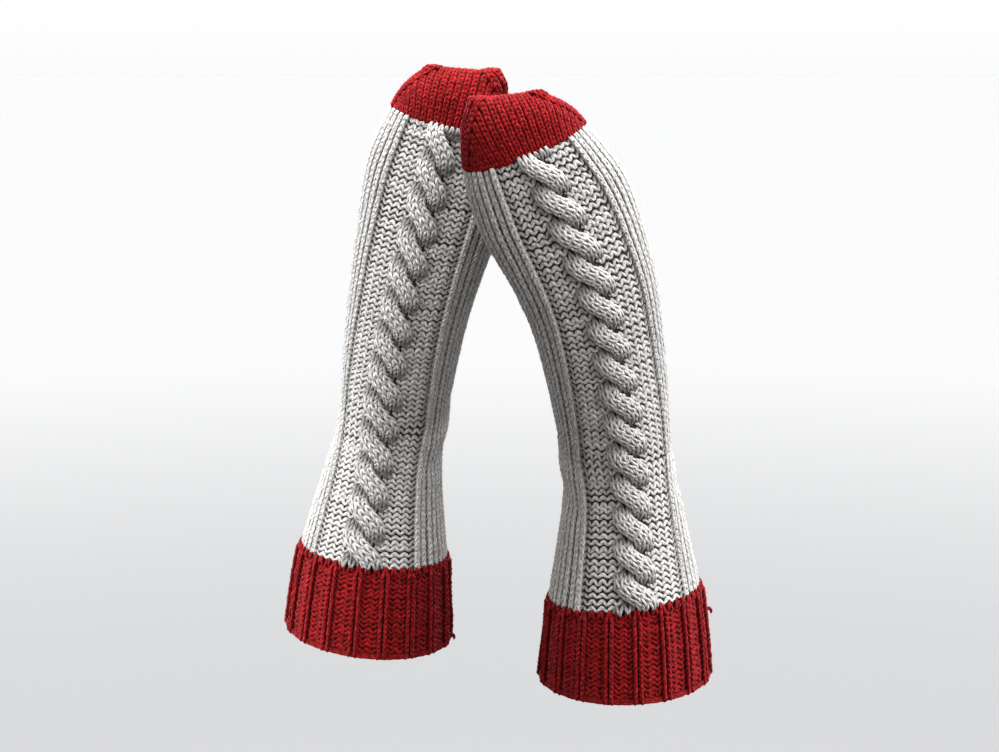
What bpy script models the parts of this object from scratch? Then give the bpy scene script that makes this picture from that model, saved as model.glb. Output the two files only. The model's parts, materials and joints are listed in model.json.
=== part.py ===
"""A pair of cable-knit bed socks, filled out as worn with the feet pointing up.

Each sock has a ribbed cuff at the bottom, a leg, a heel and a foot with a raised cable down
the instep, and a wedge toe cap at the top. The leg, the heel and the foot are one knitted
tube, parted under the heel and at the arch.
The origin lies between the two cuff openings, the instep faces -Y and the toes point up.
"""
import math

import bmesh
import bpy
import numpy as np

MM = 0.001

# Cloth
WALL = 3.0 * MM
SEAM_GAP = 0.3 * MM

# The form of either sock, one row for each section, in millimetres. A section is a closed
# loop from a point on the instep side to a point on the calf and sole side. "front" and
# "back" are their distances from the leg's axis, "front_up" and "back_up" their heights
# above the cuff's edge. "square" is 2 for an oval and more for a boxier loop.
SECTION_COLUMNS = ("name", "front", "front_up", "back", "back_up", "half_width", "square")
SECTIONS = (
    ("cuff_edge", 51.5, 1.0, 51.5, 10.5, 53.0, 2.0),
    ("cuff_middle", 50.0, 29.0, 50.0, 37.0, 51.0, 2.0),
    ("leg_start", 46.5, 58.0, 46.5, 63.0, 48.0, 2.0),
    ("leg_lower", 43.0, 83.0, 43.0, 86.0, 43.5, 2.0),
    ("leg_upper", 40.0, 112.0, 41.0, 109.0, 38.6, 2.0),
    ("ankle", 39.5, 130.0, 45.0, 124.0, 36.2, 2.0),
    ("heel_start", 40.5, 142.0, 52.0, 137.0, 35.2, 2.05),
    ("heel_tip", 41.5, 148.0, 57.5, 158.0, 34.9, 2.1),
    ("heel_end", 43.0, 154.0, 48.0, 181.0, 35.1, 2.1),
    ("instep", 50.0, 183.0, 28.0, 208.0, 36.8, 2.1),
    ("arch", 59.0, 218.0, 8.0, 240.0, 39.0, 2.15),
    ("foot", 68.0, 255.0, -9.0, 274.0, 42.5, 2.2),
    ("ball", 76.5, 298.0, -27.0, 313.0, 46.5, 2.25),
    ("toe_joint", 80.5, 319.0, -36.5, 331.0, 43.5, 2.25),
    ("toe_start", 83.0, 336.0, -44.0, 347.5, 38.0, 2.3),
    ("toe_middle", 84.5, 352.0, -53.5, 359.5, 32.5, 2.35),
    ("toe_upper", 82.5, 363.5, -61.0, 367.5, 26.5, 2.4),
    ("toe_end", 77.5, 371.5, -67.0, 372.0, 20.0, 2.4),
)
FIRST_BODY_SECTION = "leg_start"
FIRST_TOE_SECTION = "toe_start"
HEEL_SECTIONS = ("heel_start", "heel_end")
BODY_PIECES = {
    "leg": ("leg_start", "heel_start"),
    "heel": ("heel_start", "arch"),
    "foot": ("arch", "toe_start"),
}

# How the socks stand, at even steps of height in millimetres: how far the middle of each
# has moved across by there, and the sideways tilt of its sections in degrees.
STANCE_COLUMNS = ("height", "left_across", "left_tilt", "right_across", "right_tilt")
STANCES = (
    (0.0, 0.0, 7.0, 0.0, -2.0),
    (31.0, 2.3, 6.5, -0.5, -4.5),
    (62.0, 4.9, 6.5, -1.1, -6.5),
    (93.0, 8.5, 7.5, -1.9, -4.5),
    (124.0, 12.9, 9.0, -3.3, -5.5),
    (155.0, 17.8, 10.1, -6.7, -8.2),
    (186.0, 23.7, 11.0, -12.0, -12.0),
    (217.0, 31.0, 12.0, -18.8, -15.8),
    (248.0, 39.6, 12.5, -27.0, -19.0),
    (279.0, 49.2, 12.5, -39.8, -21.5),
    (310.0, 58.7, 13.5, -55.0, -23.0),
    (341.0, 67.0, 14.0, -71.6, -22.0),
    (372.0, 74.5, 5.0, -84.0, -6.0),
)

# Each sock's place, the middle of its cuff's edge, the turn of its instep to the outside in
# degrees, and the number of times that its cable crosses.
SOCKS = {
    "left": {"place": (-87.3 * MM, 25.0 * MM, 15.0 * MM), "turn": -8.0, "crossings": 13},
    "right": {"place": (80.3 * MM, -25.0 * MM, 0.0), "turn": 6.0, "crossings": 14},
}

# The knitting, in shares of the way round: the cable lies on the middle of the instep with
# a sunken purl panel on each side of it.
CABLE_SHARE = 0.104
PURL_SHARE = 0.0685
PURL_DEPTH = 0.9 * MM
CABLE_SWING = 0.46
CABLE_STRAND = 0.56
CABLE_BASE = 1.2 * MM
CABLE_RISE = 1.9 * MM
CABLE_ARCH = 2.0 * MM

# The cuff's rib: one raised knit wale and a sunken pair of purl wales, all round.
RIBS = 18
RIB_SHARE = 0.32
RIB_STEP_SHARE = 0.12
RIB_HEIGHT = 2.6 * MM
RIB_GROOVE = 0.9 * MM
CUFF_PLAIN = 5.0 * MM

# Mesh fineness
CABLE_COLUMNS = 8
PLAIN_COLUMNS = 16
ROWS_PER_CROSSING = 5
HEEL_ROWS = 6
ROW_CLEAR = 0.15
INNER_ROW_STEP = 3
CUFF_ROWS = 4
TOE_ROWS = 8
LOOP_SAMPLES = 721
CABLE_FOOT_SHARE = 0.006
PANEL_STEP_SHARE = 0.009

# Small steps for measuring the cloth's directions
NEAR_T = 0.01
NEAR_SHARE = 0.002

# Colours, roughness
PIECES = {
    "cuff": ((0.36, 0.012, 0.025, 1.0), 0.9),
    "leg": ((0.50, 0.49, 0.48, 1.0), 0.9),
    "heel": ((0.50, 0.49, 0.48, 1.0), 0.9),
    "foot": ((0.50, 0.49, 0.48, 1.0), 0.9),
    "toe": ((0.36, 0.012, 0.025, 1.0), 0.9),
}


def section_index(name):
    """The place of a section in the table."""
    names = [row[SECTION_COLUMNS.index("name")] for row in SECTIONS]
    return names.index(name)


def monotone_slopes(values):
    """Slopes for a smooth curve through evenly spaced values that never overshoots."""
    steps = np.diff(values)
    slopes = np.empty(len(values))
    slopes[0] = steps[0]
    slopes[-1] = steps[-1]
    before = steps[:-1]
    after = steps[1:]
    total = before + after
    same_way = before * after > 0
    safe = np.where(np.abs(total) > 1e-12, total, 1.0)
    slopes[1:-1] = np.where(same_way, 2 * before * after / safe, 0.0)
    return slopes


def smooth_rows(table, place):
    """A table's rows, smoothly in between, at places counted in rows."""
    place = np.clip(np.atleast_1d(np.asarray(place, float)), 0.0, len(table) - 1.0)
    low = np.clip(place.astype(int), 0, len(table) - 2)
    f = (place - low)[:, None]
    slopes = np.stack([monotone_slopes(column) for column in table.T], axis=1)
    rise = 3 * f**2 - 2 * f**3
    start_pull = f**3 - 2 * f**2 + f
    end_pull = f**3 - f**2
    mixed = table[low] * (1 - rise) + table[low + 1] * rise
    return mixed + slopes[low] * start_pull + slopes[low + 1] * end_pull


def sections_at(t):
    """The form's number columns at t, counted in sections from the cuff's edge."""
    return smooth_rows(np.array([row[1:] for row in SECTIONS]), t)


def loop_points(section, shares):
    """Points of one section's loop at shares of its way round, from the instep's middle."""
    front, front_up, back, back_up, half_width, square = section
    angle = np.linspace(0.0, math.pi, LOOP_SAMPLES)
    power = 2.0 / square
    across = half_width * np.abs(np.sin(angle)) ** power
    along = np.sign(np.cos(angle)) * np.abs(np.cos(angle)) ** power
    depth = 0.5 * math.hypot(front + back, back_up - front_up)
    run = np.concatenate([[0.0], np.cumsum(np.hypot(np.diff(across), np.diff(along * depth)))])
    wanted = np.abs(shares) * 2.0 * run[-1]
    x = np.interp(wanted, run, across) * np.sign(shares)
    side = np.interp(wanted, run, along)
    y = 0.5 * (back - front) - side * 0.5 * (front + back)
    z = 0.5 * (front_up + back_up) + side * 0.5 * (front_up - back_up)
    return np.stack([x, y, z], axis=1) * MM


def stand(points, side):
    """Turns, tilts and places points of the form as one sock of the pair stands."""
    turn = math.radians(SOCKS[side]["turn"])
    x = points[:, 0] * math.cos(turn) - points[:, 1] * math.sin(turn)
    y = points[:, 0] * math.sin(turn) + points[:, 1] * math.cos(turn)
    table = np.array(STANCES)
    stance = smooth_rows(table, points[:, 2] / MM / (table[1, 0] - table[0, 0]))
    across = stance[:, STANCE_COLUMNS.index(f"{side}_across")] * MM
    tilt = np.radians(stance[:, STANCE_COLUMNS.index(f"{side}_tilt")])
    place_x, place_y, place_z = SOCKS[side]["place"]
    world_x = place_x + across + x * np.cos(tilt)
    world_z = place_z + points[:, 2] - x * np.sin(tilt)
    return np.stack([world_x, place_y + y, world_z], axis=1)


def surface(t, shares, side):
    """Points of the plain cloth's outer face at one t, with the ways out of it and up it."""
    shares = np.asarray(shares, float)
    low_t = max(t - NEAR_T, 0.0)
    high_t = min(t + NEAR_T, len(SECTIONS) - 1.0)
    here, below, above = [
        stand(loop_points(section, shares), side) for section in sections_at([t, low_t, high_t])
    ]
    section = sections_at(t)[0]
    ahead = stand(loop_points(section, wrap(shares + NEAR_SHARE)), side)
    behind = stand(loop_points(section, wrap(shares - NEAR_SHARE)), side)
    up = above - below
    up /= np.linalg.norm(up, axis=1)[:, None]
    out = np.cross(ahead - behind, up)
    out /= np.linalg.norm(out, axis=1)[:, None]
    return here, out, up


def wrap(shares):
    """Shares of the way round brought back between -0.5 and 0.5."""
    return (shares + 0.5) % 1.0 - 0.5


def instep_run(count=2000):
    """t and the length along the instep's middle, from the cuff's edge to the toe's end."""
    t = np.linspace(0.0, len(SECTIONS) - 1.0, count)
    sections = sections_at(t)
    steps = np.hypot(np.diff(sections[:, 0]), np.diff(sections[:, 1])) * MM
    return t, np.concatenate([[0.0], np.cumsum(steps)])


def cable_height(across, turns):
    """How far a two-strand cable stands out of the purl ground.

    across runs from -1 to 1 over the cable's width and turns counts crossings from the
    toe down. Each strand passes in front from the upper left to the lower right.
    """
    height = np.zeros_like(across)
    for strand in (0, 1):
        phase = math.pi * (turns + strand)
        middle = -CABLE_SWING * math.cos(phase)
        level = CABLE_BASE + CABLE_RISE * math.sin(phase)
        inside = np.clip(1.0 - ((across - middle) / CABLE_STRAND) ** 2, 0.0, None)
        edge = np.clip(inside * 4.0, 0.0, 1.0)
        height = np.maximum(height, edge * (level + CABLE_ARCH * np.sqrt(inside)))
    return height


def body_shares():
    """Columns round the leg and foot: fine on the cable, coarse on the plain knitting."""
    cable = np.linspace(-0.5, 0.5, CABLE_COLUMNS + 1) * CABLE_SHARE
    foot_of_cable = cable[-1] + CABLE_FOOT_SHARE
    panel_edge = 0.5 * CABLE_SHARE + PURL_SHARE
    panel_floor = panel_edge - PANEL_STEP_SHARE
    plain = np.linspace(panel_edge, 1.0 - panel_edge, PLAIN_COLUMNS + 1)
    right = [foot_of_cable, panel_floor]
    return np.concatenate([cable, right, plain, [1.0 - panel_floor, 1.0 - foot_of_cable]])


def body_relief(shares, turns):
    """The outer face's offset on the leg and foot: sunken purl panels, raised cable."""
    place = wrap(shares)
    panel_edge = 0.5 * CABLE_SHARE + PURL_SHARE
    in_panel = np.abs(place) < panel_edge - 0.5 * PANEL_STEP_SHARE
    across = place / (0.5 * CABLE_SHARE)
    on_cable = np.abs(place) < 0.5 * (CABLE_SHARE + CABLE_FOOT_SHARE)
    sunk = np.where(in_panel, -PURL_DEPTH, 0.0)
    return sunk + np.where(on_cable, cable_height(across, turns), 0.0)


def rib_shares():
    """Columns round the cuff: the two edges and the two feet of each raised rib."""
    half_top = 0.5 * RIB_SHARE
    half_foot = half_top + RIB_STEP_SHARE
    corners = np.array([-half_foot, -half_top, half_top, half_foot])
    return np.concatenate([(rib + corners) / RIBS for rib in range(RIBS)])


def rib_relief(height_left, height_right):
    """The cuff's outer face: ribs that rise out of a plain round at each edge."""
    plain = 0.5 * (RIB_HEIGHT + RIB_GROOVE)
    near_edge = min(height_left, height_right)
    share = min(1.0, max(0.0, near_edge / CUFF_PLAIN))
    high = plain + (RIB_HEIGHT - plain) * share
    low = plain + (RIB_GROOVE - plain) * share
    return np.tile([low, high, high, low], RIBS)


def add_loops(bm, loops):
    """Adds the points of each loop and returns the new vertices, loop by loop."""
    return [[bm.verts.new(point) for point in loop] for loop in loops]


def bridge(bm, lower, upper):
    """Fills the band between two loops of one count, with diagonals down to the right."""
    count = len(lower)
    for i in range(count):
        j = (i + 1) % count
        bm.faces.new((lower[i], lower[j], upper[i]))
        bm.faces.new((lower[j], upper[j], upper[i]))


def close_flat(bm, loop, shares):
    """Closes a flat end with one band between its front chain and its back chain."""
    count = len(loop)
    place = wrap(shares)
    first = int(np.argmin(np.abs(place + 0.25)))
    last = int(np.argmin(np.abs(place - 0.25)))
    front = [loop[(first + i) % count] for i in range((last - first) % count + 1)]
    back = [loop[(first - i) % count] for i in range((first - last) % count + 1)]
    bm.faces.new((front[0], front[1], back[1]))
    front_end = len(front) - 1
    back_end = len(back) - 1
    i = 1
    j = 1
    while (i, j) not in ((front_end, back_end - 1), (front_end - 1, back_end)):
        front_is_behind = (i + 1) * back_end <= (j + 1) * front_end
        if j == back_end or (i < front_end and front_is_behind):
            bm.faces.new((front[i], front[i + 1], back[j]))
            i += 1
        else:
            bm.faces.new((front[i], back[j + 1], back[j]))
            j += 1


def wall_object(name, outer_loops, inner_loops, closed_shares):
    """One closed wall between an outer and an inner run of loops of the same count.

    closed_shares is None for a tube, or the columns' shares for a piece closed at its top.
    """
    bm = bmesh.new()
    outer = add_loops(bm, outer_loops)
    inner = add_loops(bm, inner_loops)
    for rows in (outer, inner):
        for lower, upper in zip(rows[:-1], rows[1:]):
            bridge(bm, lower, upper)
    bridge(bm, outer[0], inner[0])
    if closed_shares is None:
        bridge(bm, outer[-1], inner[-1])
    else:
        close_flat(bm, outer[-1], closed_shares)
        close_flat(bm, inner[-1], closed_shares)
    bmesh.ops.recalc_face_normals(bm, faces=bm.faces)
    mesh = bpy.data.meshes.new(name)
    bm.to_mesh(mesh)
    bm.free()
    mesh.shade_smooth()
    mesh.set_sharp_from_angle(angle=math.radians(50.0))
    return bpy.data.objects.new(name, mesh)


def cuff_loops(side):
    """The ribbed cuff, from its open edge to the seam under the leg."""
    t_all, run = instep_run()
    end = np.interp(section_index(FIRST_BODY_SECTION), t_all, run)
    plain = np.linspace(CUFF_PLAIN, end - CUFF_PLAIN, CUFF_ROWS)
    heights = np.concatenate([[0.0], plain, [end]])
    shares = wrap(rib_shares())
    outer = []
    inner = []
    for height in heights:
        points, out, up = surface(np.interp(height, run, t_all), shares, side)
        if height == end:
            points = points - up * 0.5 * SEAM_GAP
        relief = rib_relief(height, end - height)
        outer.append(points + out * relief[:, None])
        if height in (heights[0], heights[2], heights[-1]):
            inner.append(points - out * WALL)
    return outer, inner


def body_rows(crossings):
    """t of each row of points on the leg, heel and foot, from the cuff's seam to the toe's."""
    t_all, run = instep_run()
    t_start = section_index(FIRST_BODY_SECTION)
    t_end = section_index(FIRST_TOE_SECTION)
    start, end = np.interp([t_start, t_end], t_all, run)
    even = np.linspace(start, end, crossings * ROWS_PER_CROSSING + 1)[1:-1]
    t_rows = np.interp(even, run, t_all)
    heel_low, heel_high = [section_index(name) for name in HEEL_SECTIONS]
    foot_start = section_index(BODY_PIECES["foot"][0])
    in_heel = (t_rows > heel_low - ROW_CLEAR) & (t_rows < heel_high + ROW_CLEAR)
    at_foot_start = np.abs(t_rows - foot_start) < ROW_CLEAR
    t_rows = t_rows[~(in_heel | at_foot_start)]
    t_heel = np.linspace(heel_low, heel_high, HEEL_ROWS + 1)
    return np.sort(np.concatenate([[t_start], t_rows, t_heel, [foot_start], [t_end]]))


def body_loops(side, piece):
    """The leg, the heel or the foot, between the seams at its two ends."""
    t_all, run = instep_run()
    ends = [section_index(FIRST_BODY_SECTION), section_index(FIRST_TOE_SECTION)]
    start, end = np.interp(ends, t_all, run)
    crossings = SOCKS[side]["crossings"]
    t_low, t_high = [section_index(name) for name in BODY_PIECES[piece]]
    t_rows = body_rows(crossings)
    t_rows = t_rows[(t_rows >= t_low) & (t_rows <= t_high)]
    shares = wrap(body_shares())
    outer = []
    inner = []
    for row, t in enumerate(t_rows):
        points, out, up = surface(t, shares, side)
        if t == t_low:
            points = points + up * 0.5 * SEAM_GAP
        if t == t_high:
            points = points - up * 0.5 * SEAM_GAP
        turns = crossings * (end - np.interp(t, t_all, run)) / (end - start)
        relief = body_relief(shares, turns)
        outer.append(points + out * relief[:, None])
        if row % INNER_ROW_STEP == 0 or t == t_high:
            inner.append(points - out * WALL)
    return outer, inner


def toe_loops(side):
    """The toe cap, from the seam over the foot to its blunt end."""
    t_start = section_index(FIRST_TOE_SECTION)
    shares = wrap(body_shares())
    outer = []
    inner = []
    for t in np.linspace(t_start, len(SECTIONS) - 1.0, TOE_ROWS + 1):
        points, out, up = surface(t, shares, side)
        if t == t_start:
            points = points + up * 0.5 * SEAM_GAP
        outer.append(points)
        inner.append(points - out * WALL)
    return outer, inner


def knit_material(name, colour, roughness):
    """A plain wool material."""
    material = bpy.data.materials.new(name)
    material.use_nodes = True
    shader = material.node_tree.nodes["Principled BSDF"]
    shader.inputs["Base Color"].default_value = colour
    shader.inputs["Roughness"].default_value = roughness
    shader.inputs["Metallic"].default_value = 0.0
    return material


def main():
    for old in list(bpy.data.objects):
        bpy.data.objects.remove(old, do_unlink=True)
    collection = bpy.data.collections.new("bed_socks")
    bpy.context.scene.collection.children.link(collection)
    for side in SOCKS:
        for piece, (colour, roughness) in PIECES.items():
            if piece == "cuff":
                outer, inner = cuff_loops(side)
            elif piece == "toe":
                outer, inner = toe_loops(side)
            else:
                outer, inner = body_loops(side, piece)
            name = f"{side}_{piece}"
            closed = body_shares() if piece == "toe" else None
            solid = wall_object(name, outer, inner, closed)
            solid.data.materials.append(knit_material(name, colour, roughness))
            collection.objects.link(solid)


main()
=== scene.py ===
"""Looks of a pair of cable-knit bed socks, filled out as worn with the toes up.

Each sock is thin cloth in three pieces, cuff, leg with foot, and toe, with its yarn laid over
the cloth stitch by stitch: knit legs, purl waves, the cable's two strands and the cuff's edge.
The form's tables are the solids', in millimetres, with two more rows at the toe's end. The
cable swings a little wider than the solids', in narrower strands, and stands 0.2 mm higher.
"""
import json
import math

import bpy
import numpy as np
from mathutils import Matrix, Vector

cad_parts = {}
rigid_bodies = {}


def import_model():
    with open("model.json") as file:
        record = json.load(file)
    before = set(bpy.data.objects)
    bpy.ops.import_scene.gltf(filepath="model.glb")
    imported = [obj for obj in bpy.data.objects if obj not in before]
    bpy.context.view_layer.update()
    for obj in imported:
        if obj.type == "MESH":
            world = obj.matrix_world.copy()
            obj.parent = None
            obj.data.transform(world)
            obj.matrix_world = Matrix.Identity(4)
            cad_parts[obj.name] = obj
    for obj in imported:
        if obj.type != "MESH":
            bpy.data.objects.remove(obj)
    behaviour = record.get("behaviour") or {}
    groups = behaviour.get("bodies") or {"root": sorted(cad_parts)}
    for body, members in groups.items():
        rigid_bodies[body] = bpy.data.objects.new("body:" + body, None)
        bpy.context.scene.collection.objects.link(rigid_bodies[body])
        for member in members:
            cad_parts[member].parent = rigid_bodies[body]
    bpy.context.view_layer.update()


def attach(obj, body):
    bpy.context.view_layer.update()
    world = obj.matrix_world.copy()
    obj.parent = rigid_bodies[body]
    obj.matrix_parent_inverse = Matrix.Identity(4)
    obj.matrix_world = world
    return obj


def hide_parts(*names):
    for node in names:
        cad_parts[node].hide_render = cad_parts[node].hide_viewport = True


MM = 0.001
TINY = 1e-12

# The form, one row for each section from the cuff's edge to the closed toe: its name, how
# far forward and how high its front is, how far back and how high its back is, its half
# width, and how square it is, from 2 for an oval. The last two rows only round off the toe.
SECTIONS = (
    ("cuff_edge", 51.5, 1.0, 51.5, 10.5, 53.0, 2.0),
    ("cuff_middle", 50.0, 29.0, 50.0, 37.0, 51.0, 2.0),
    ("leg_start", 46.5, 58.0, 46.5, 63.0, 48.0, 2.0),
    ("leg_lower", 43.0, 83.0, 43.0, 86.0, 43.5, 2.0),
    ("leg_upper", 40.0, 112.0, 41.0, 109.0, 38.6, 2.0),
    ("ankle", 39.5, 130.0, 45.0, 124.0, 36.2, 2.0),
    ("heel_start", 40.5, 142.0, 52.0, 137.0, 35.2, 2.05),
    ("heel_tip", 41.5, 148.0, 57.5, 158.0, 34.9, 2.1),
    ("heel_end", 43.0, 154.0, 48.0, 181.0, 35.1, 2.1),
    ("instep", 50.0, 183.0, 28.0, 208.0, 36.8, 2.1),
    ("arch", 59.0, 218.0, 8.0, 240.0, 39.0, 2.15),
    ("foot", 68.0, 255.0, -9.0, 274.0, 42.5, 2.2),
    ("ball", 76.5, 298.0, -27.0, 313.0, 46.5, 2.25),
    ("toe_joint", 80.5, 319.0, -36.5, 331.0, 43.5, 2.25),
    ("toe_start", 83.0, 336.0, -44.0, 347.5, 38.0, 2.3),
    ("toe_middle", 84.5, 352.0, -53.5, 359.5, 32.5, 2.35),
    ("toe_upper", 82.5, 363.5, -61.0, 367.5, 26.5, 2.4),
    ("toe_end", 77.5, 371.5, -67.0, 372.0, 20.0, 2.4),
    ("toe_close", 75.0, 372.3, -69.5, 372.4, 18.5, 2.4),
    ("toe_slit", 72.6, 372.5, -71.9, 372.5, 17.5, 2.4),
)
ROW = {section[0]: row for row, section in enumerate(SECTIONS)}

# How far each sock leans across, in millimetres, and its tilt in degrees, by height
STANCE_COLUMNS = ("height", "left_across", "left_tilt", "right_across", "right_tilt")
STANCES = (
    (0.0, 0.0, 7.0, 0.0, -2.0),
    (31.0, 2.3, 6.5, -0.5, -4.5),
    (62.0, 4.9, 6.5, -1.1, -6.5),
    (93.0, 8.5, 7.5, -1.9, -4.5),
    (124.0, 12.9, 9.0, -3.3, -5.5),
    (155.0, 17.8, 10.1, -6.7, -8.2),
    (186.0, 23.7, 11.0, -12.0, -12.0),
    (217.0, 31.0, 12.0, -18.8, -15.8),
    (248.0, 39.6, 12.5, -27.0, -19.0),
    (279.0, 49.2, 12.5, -39.8, -21.5),
    (310.0, 58.7, 13.5, -55.0, -23.0),
    (341.0, 67.0, 14.0, -71.6, -22.0),
    (372.0, 74.5, 5.0, -84.0, -6.0),
)

# The place of each sock, the turn of its instep to the outside in degrees, its cable's
# crossings and the rows of knitting in each crossing.
SOCKS = {
    "left": {"place": (-87.3, 25.0, 15.0), "turn": -8.0, "crossings": 13, "crossing_rows": 6},
    "right": {"place": (80.3, -25.0, 0.0), "turn": 6.0, "crossings": 14, "crossing_rows": 5},
}

# Cloth
WALL = 3.0 * MM
CABLE_SHARE = 0.104
PURL_SHARE = 0.0685
PURL_DEPTH = 0.9 * MM
CABLE_SWING = 0.50
CABLE_STRAND = 0.53
CABLE_SHARPNESS = 0.15
CABLE_BASE = 1.2 * MM
CABLE_RISE = 2.1 * MM
CABLE_ARCH = 2.0 * MM
CABLE_DIVE = 4.2 * MM
CABLE_DEEPEST = -1.7 * MM
CABLE_TUCK = 0.4
CABLE_HIDDEN = -0.80
CABLE_FLANK = 4.0
CABLE_EDGE = 1.05
CABLE_CLOTH_SHARE = 0.8
RIBS = 18
RIB_HEIGHT = 2.6 * MM
RIB_GROOVE = 0.9 * MM

# Knitting
KNIT_COLUMNS = 36
PURL_COLUMNS = 3
PURL_TUCK = 0.5
PURL_SINK = 0.6
RIB_PURL_SINK = 1.2
STRAND_COLUMNS = (-1, 0, 1)
CUFF_ROWS = 17
CUFF_KNIT_SHARE = 0.30
TOE_ROWS = 14
TOE_CLOSING_ROWS = 2
TOE_YARN_REACH = 1.6
TOE_CLOTH_REACH = 1.0
TOE_STEP_ROWS = 2
TOE_STEP_STITCHES = 4
TOE_BAND_STITCHES = 1.75
TOE_FIRST_STITCHES = 20
TOE_LAST_STITCHES = 48
YARN = 1.08 * MM
CLOTH_DEPTH = 1.5 * MM
KNIT_DEPTH = 1.1 * MM
BORDER_RISES = {"inner": 0.5 * MM, "outer": 0.05 * MM}
BORDER_GROOVE = 0.55 * MM
TOE_EDGE_RISE = 0.4 * MM
TOE_BAND_RISE = 0.6 * MM
STRAND_RADIUS = 7.0 * MM
CABLE_YARN = 0.92
CUFF_YARN = 1.06
CHAIN_WIDTH = 5.2 * MM
CHAIN_SPREAD = 0.8
CHAIN_RISE = 1.2 * MM
CHAIN_SLOPE = 0.3
CHAIN_SINK = 0.8
CHAIN_TILT = 0.5

# One leg of a knit stitch from its tip, towards the toe, to its spread end: how far across
# in column widths from the wale's middle, how far down in rows, and its height and thickness
# in yarn radii
LEG = (
    (0.07, -0.34, -0.70, 0.84),
    (0.11, 0.08, 0.27, 1.02),
    (0.17, 0.55, 0.53, 1.06),
    (0.23, 1.00, 0.14, 1.00),
    (0.29, 1.44, -0.90, 0.80),
)
# The same in the toe, whose stitches open wider
TOE_LEG = (
    (0.09, -0.34, -0.90, 0.80),
    (0.13, 0.00, 0.20, 0.98),
    (0.19, 0.38, 0.62, 1.04),
    (0.25, 0.76, 0.48, 1.04),
    (0.32, 1.12, -0.20, 0.94),
    (0.37, 1.44, -1.25, 0.76),
)
# The same in the cable, whose stitches are short and plump
CABLE_LEG = (
    (0.05, -0.28, -1.25, 0.70),
    (0.12, 0.02, 0.05, 0.95),
    (0.21, 0.36, 0.60, 1.04),
    (0.30, 0.70, 0.50, 1.04),
    (0.38, 1.02, -0.15, 0.92),
    (0.43, 1.30, -1.30, 0.70),
)
# The same in the cuff's rib, whose wales are drawn open
RIB_LEG = (
    (0.22, -0.25, -0.90, 0.80),
    (0.27, 0.05, 0.20, 1.02),
    (0.32, 0.40, 0.70, 1.08),
    (0.37, 0.75, 0.60, 1.08),
    (0.41, 1.05, 0.05, 1.00),
    (0.44, 1.30, -0.90, 0.80),
)

# A purl stitch hangs as one low arc of yarn in its column, with a hole over the arc. The
# arcs meet, deeper and thicker, at the columns' sides. Heights are in yarn radii.
WAVE_STEPS = 8
WAVE_SWING = 0.30
WAVE_SLANT = 0.04
WAVE_HIGH = 0.45
WAVE_DEEP = -0.55
WAVE_TUCK_RISE = 2.8
WAVE_TUCK_REACH = 0.45
WAVE_NARROWED = 0.38
WAVE_THICK = 1.55
WAVE_THIN = 0.95
# Painted shade on the waves' ends beside a raised wale, as a share
WAVE_SHADE = 0.8

# How uneven the stitches are, as standard deviations: places in columns and rows, heights in
# yarn radii, the rest as shares
KNIT_UNEVEN = {"across": 0.015, "down": 0.03, "height": 0.08, "thick": 0.04}
PURL_UNEVEN = {"swing": 0.18, "down": 0.05, "height": 0.12, "thick": 0.07}
CABLE_UNEVEN = {"down": 0.03, "height": 0.06, "thick": 0.04}
CHAIN_UNEVEN = {"down": 0.04, "thick": 0.05}

# Yarn tubes are open towards the cloth: angles of their sides from the cloth's plane
TUBE_START = math.radians(-22.0)
TUBE_END = math.radians(202.0)
TUBE_SIDES = 4

# Plies of the yarn, the length in which they turn once, the length of a fleck, how far the
# tubes' patterns are shifted at most in metres, and the stops of the flecks' colours
PLIES = 3
PLY_LAY = 9.0 * MM
FLECK_LENGTH = 4.0 * MM
FLECK_SHIFT = 50.0
FLECK_STOPS = (0.36, 0.50, 0.66)

# The yarn's sides are painted darker, a painted shade where they turn in between the stitches:
# the shares out of the cloth's plane between which that fades, and how dark it gets as a share
# of the darkest fleck
SHADED_BELOW = 0.05
OPEN_ABOVE = 0.80
SIDE_SHADE = 0.46

# Painted shade on the cable's strands where they dive under each other: how dark it gets, and
# the levels at which that starts
CABLE_SHADE = 0.9
SHADE_FROM = 0.45
SHADE_RAMP = 0.95

# Loose hairs of wool: how many on each part of a sock, their length and radius
HAIRS = {"panel": 2500, "foot": 2500, "leg": 2500, "cuff": 2200, "toe": 1500}
HAIR_POINTS = ((-0.1, 1.0), (0.45, 0.75), (1.0, 0.15))
HAIR_LENGTH = (1.2 * MM, 3.2 * MM)
HAIR_RADIUS = 0.035 * MM
HAIR_SPREAD = 0.5
HAIR_BEND = (0.4, 1.0)
HAIR_CURL = 0.35
HAIR_UV_START = (0.0, 0.2)
HAIR_UV_SIZE = (1.0, 0.1)

# The cut of each piece, flat, as width and length in metres. The toe's is a wedge, whose
# area in square metres follows from its fewest and most stitches.
BODY_CUT = (0.225, 0.29)
CUFF_CUT = (0.26, 0.06)
TOE_CUT = (0.19, 0.04)
TOE_FULL_SHARE = 0.5 * (TOE_FIRST_STITCHES + TOE_LAST_STITCHES) / TOE_LAST_STITCHES
TOE_CUT_AREA = TOE_CUT[0] * TOE_CUT[1] * TOE_FULL_SHARE

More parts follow.
